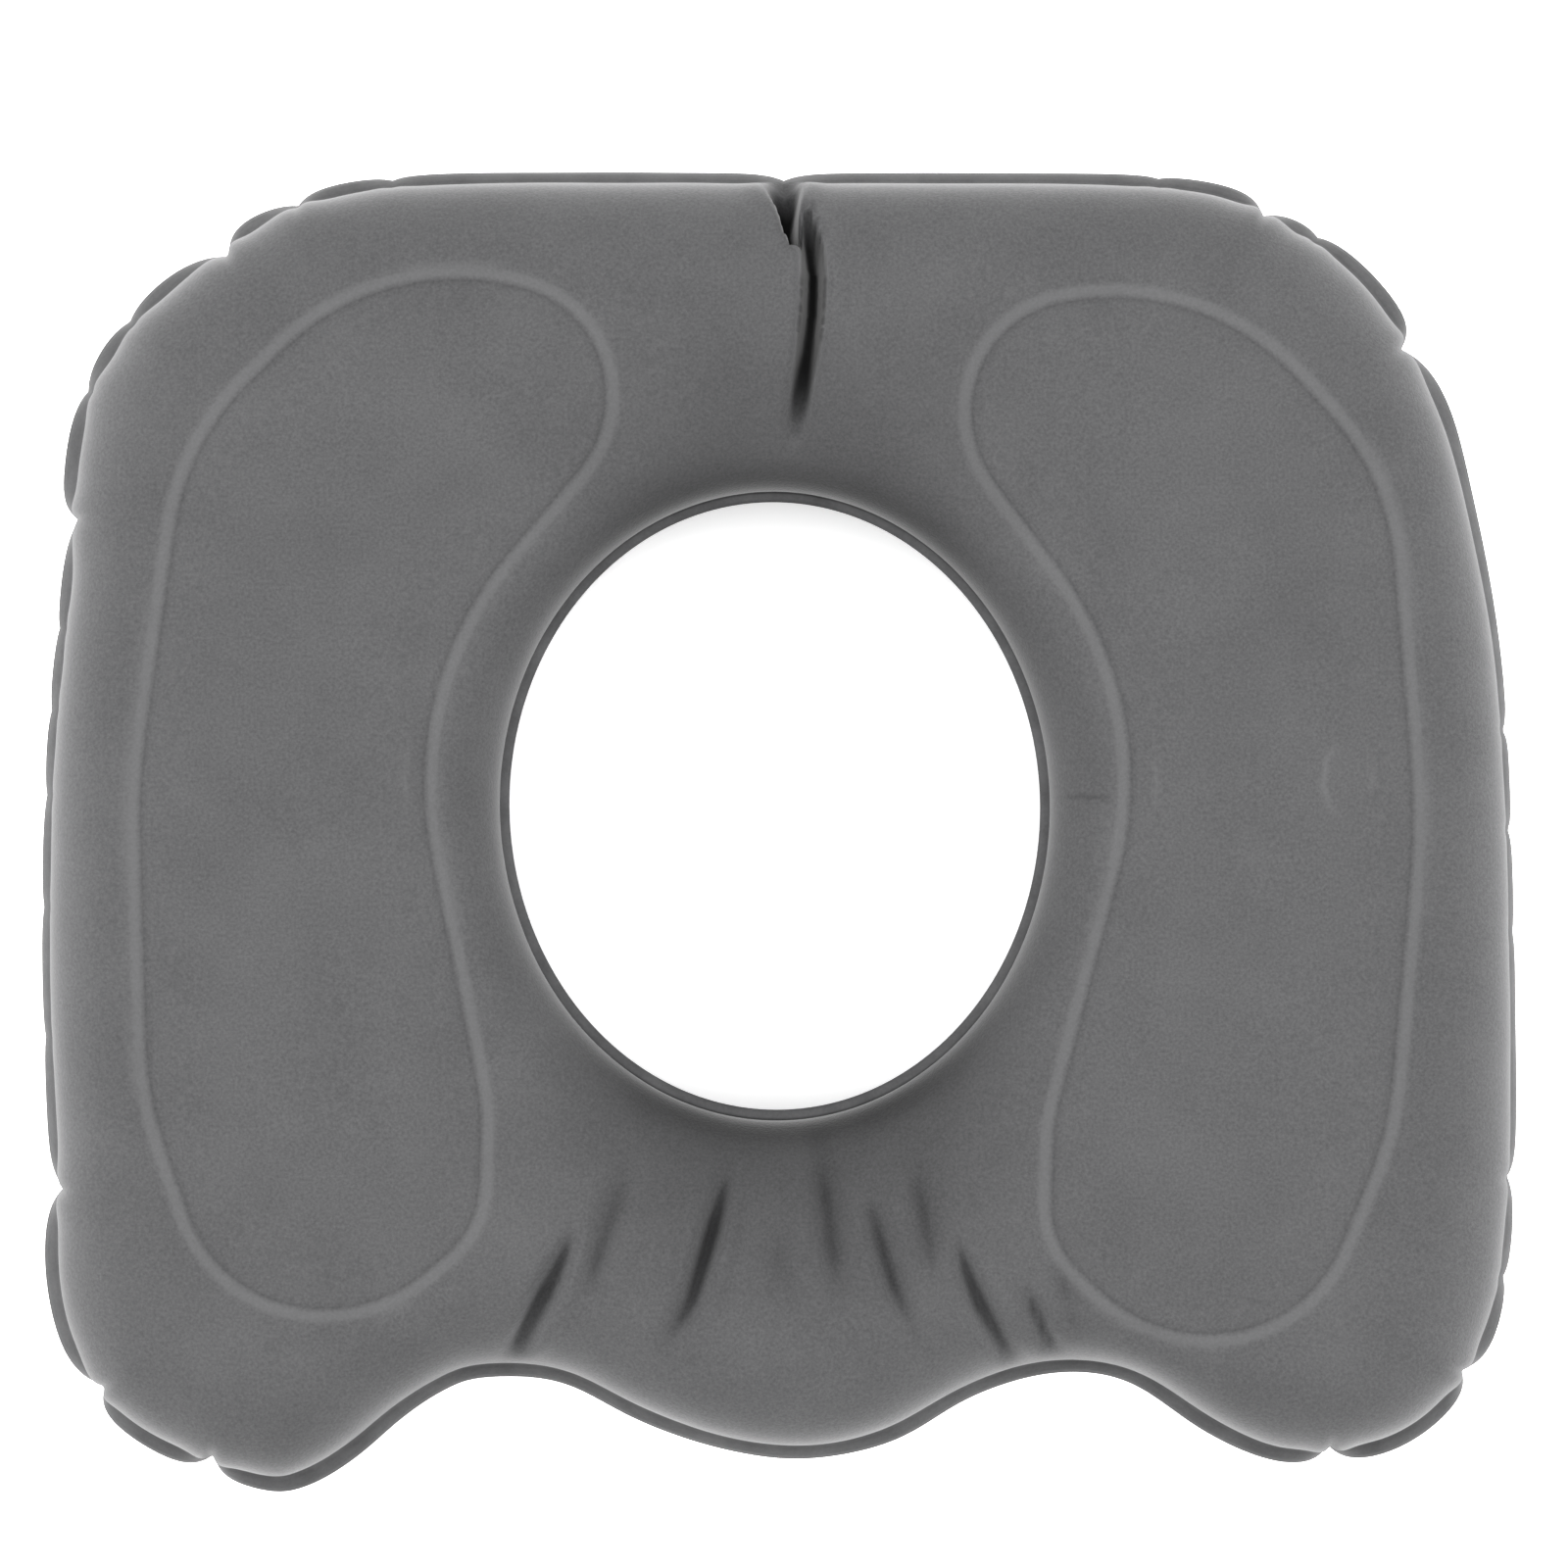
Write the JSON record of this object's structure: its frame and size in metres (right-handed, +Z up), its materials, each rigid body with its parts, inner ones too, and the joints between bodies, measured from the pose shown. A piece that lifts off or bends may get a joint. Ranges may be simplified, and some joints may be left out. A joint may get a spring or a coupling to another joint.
{
  "type": "inflatable seat cushion",
  "caption": "Inflatable flocked seat cushion with an oval opening, straight back edge, thigh notches at the front and a push-in valve underneath.",
  "frame": {"origin": "on the floor, below the centre of the box round the whole cushion", "axes": "+X across the seat towards the side with the valve, +Y towards the straight back edge, +Z up out of the seat"},
  "size_m": [0.43, 0.383, 0.065],
  "materials": {
    "flocked_pvc": "matte",
    "inner_pvc": "satin",
    "valve_pvc": "satin"
  },
  "bodies": {
    "cushion": {"top_sheet": "flocked_pvc", "bottom_sheet": "flocked_pvc", "left_tension_wall": "inner_pvc", "right_tension_wall": "inner_pvc", "valve_flange": "valve_pvc"},
    "stem": {"valve_stem": "valve_pvc", "plug_tether": "valve_pvc"},
    "flap": {"check_flap": "inner_pvc"},
    "plug": {"valve_plug": "valve_pvc"}
  },
  "joints": [
    {"name": "stem_slide", "type": "slide", "parent": "cushion", "child": "stem", "axis": [0, 0, -1], "range_m": [0, 0.01]},
    {"name": "flap_hinge", "type": "hinge", "parent": "stem", "child": "flap", "pos_m": [0.15745, 0.016, 0.018], "axis": [0, -1, 0], "range_deg": [0, 60], "stiffness_Nm_per_rad": 0.0001},
    {"name": "plug_pull", "type": "slide", "parent": "stem", "child": "plug", "axis": [0, 0, -1], "range_m": [0, 0.012], "deforming": ["plug_tether"]}
  ]
}
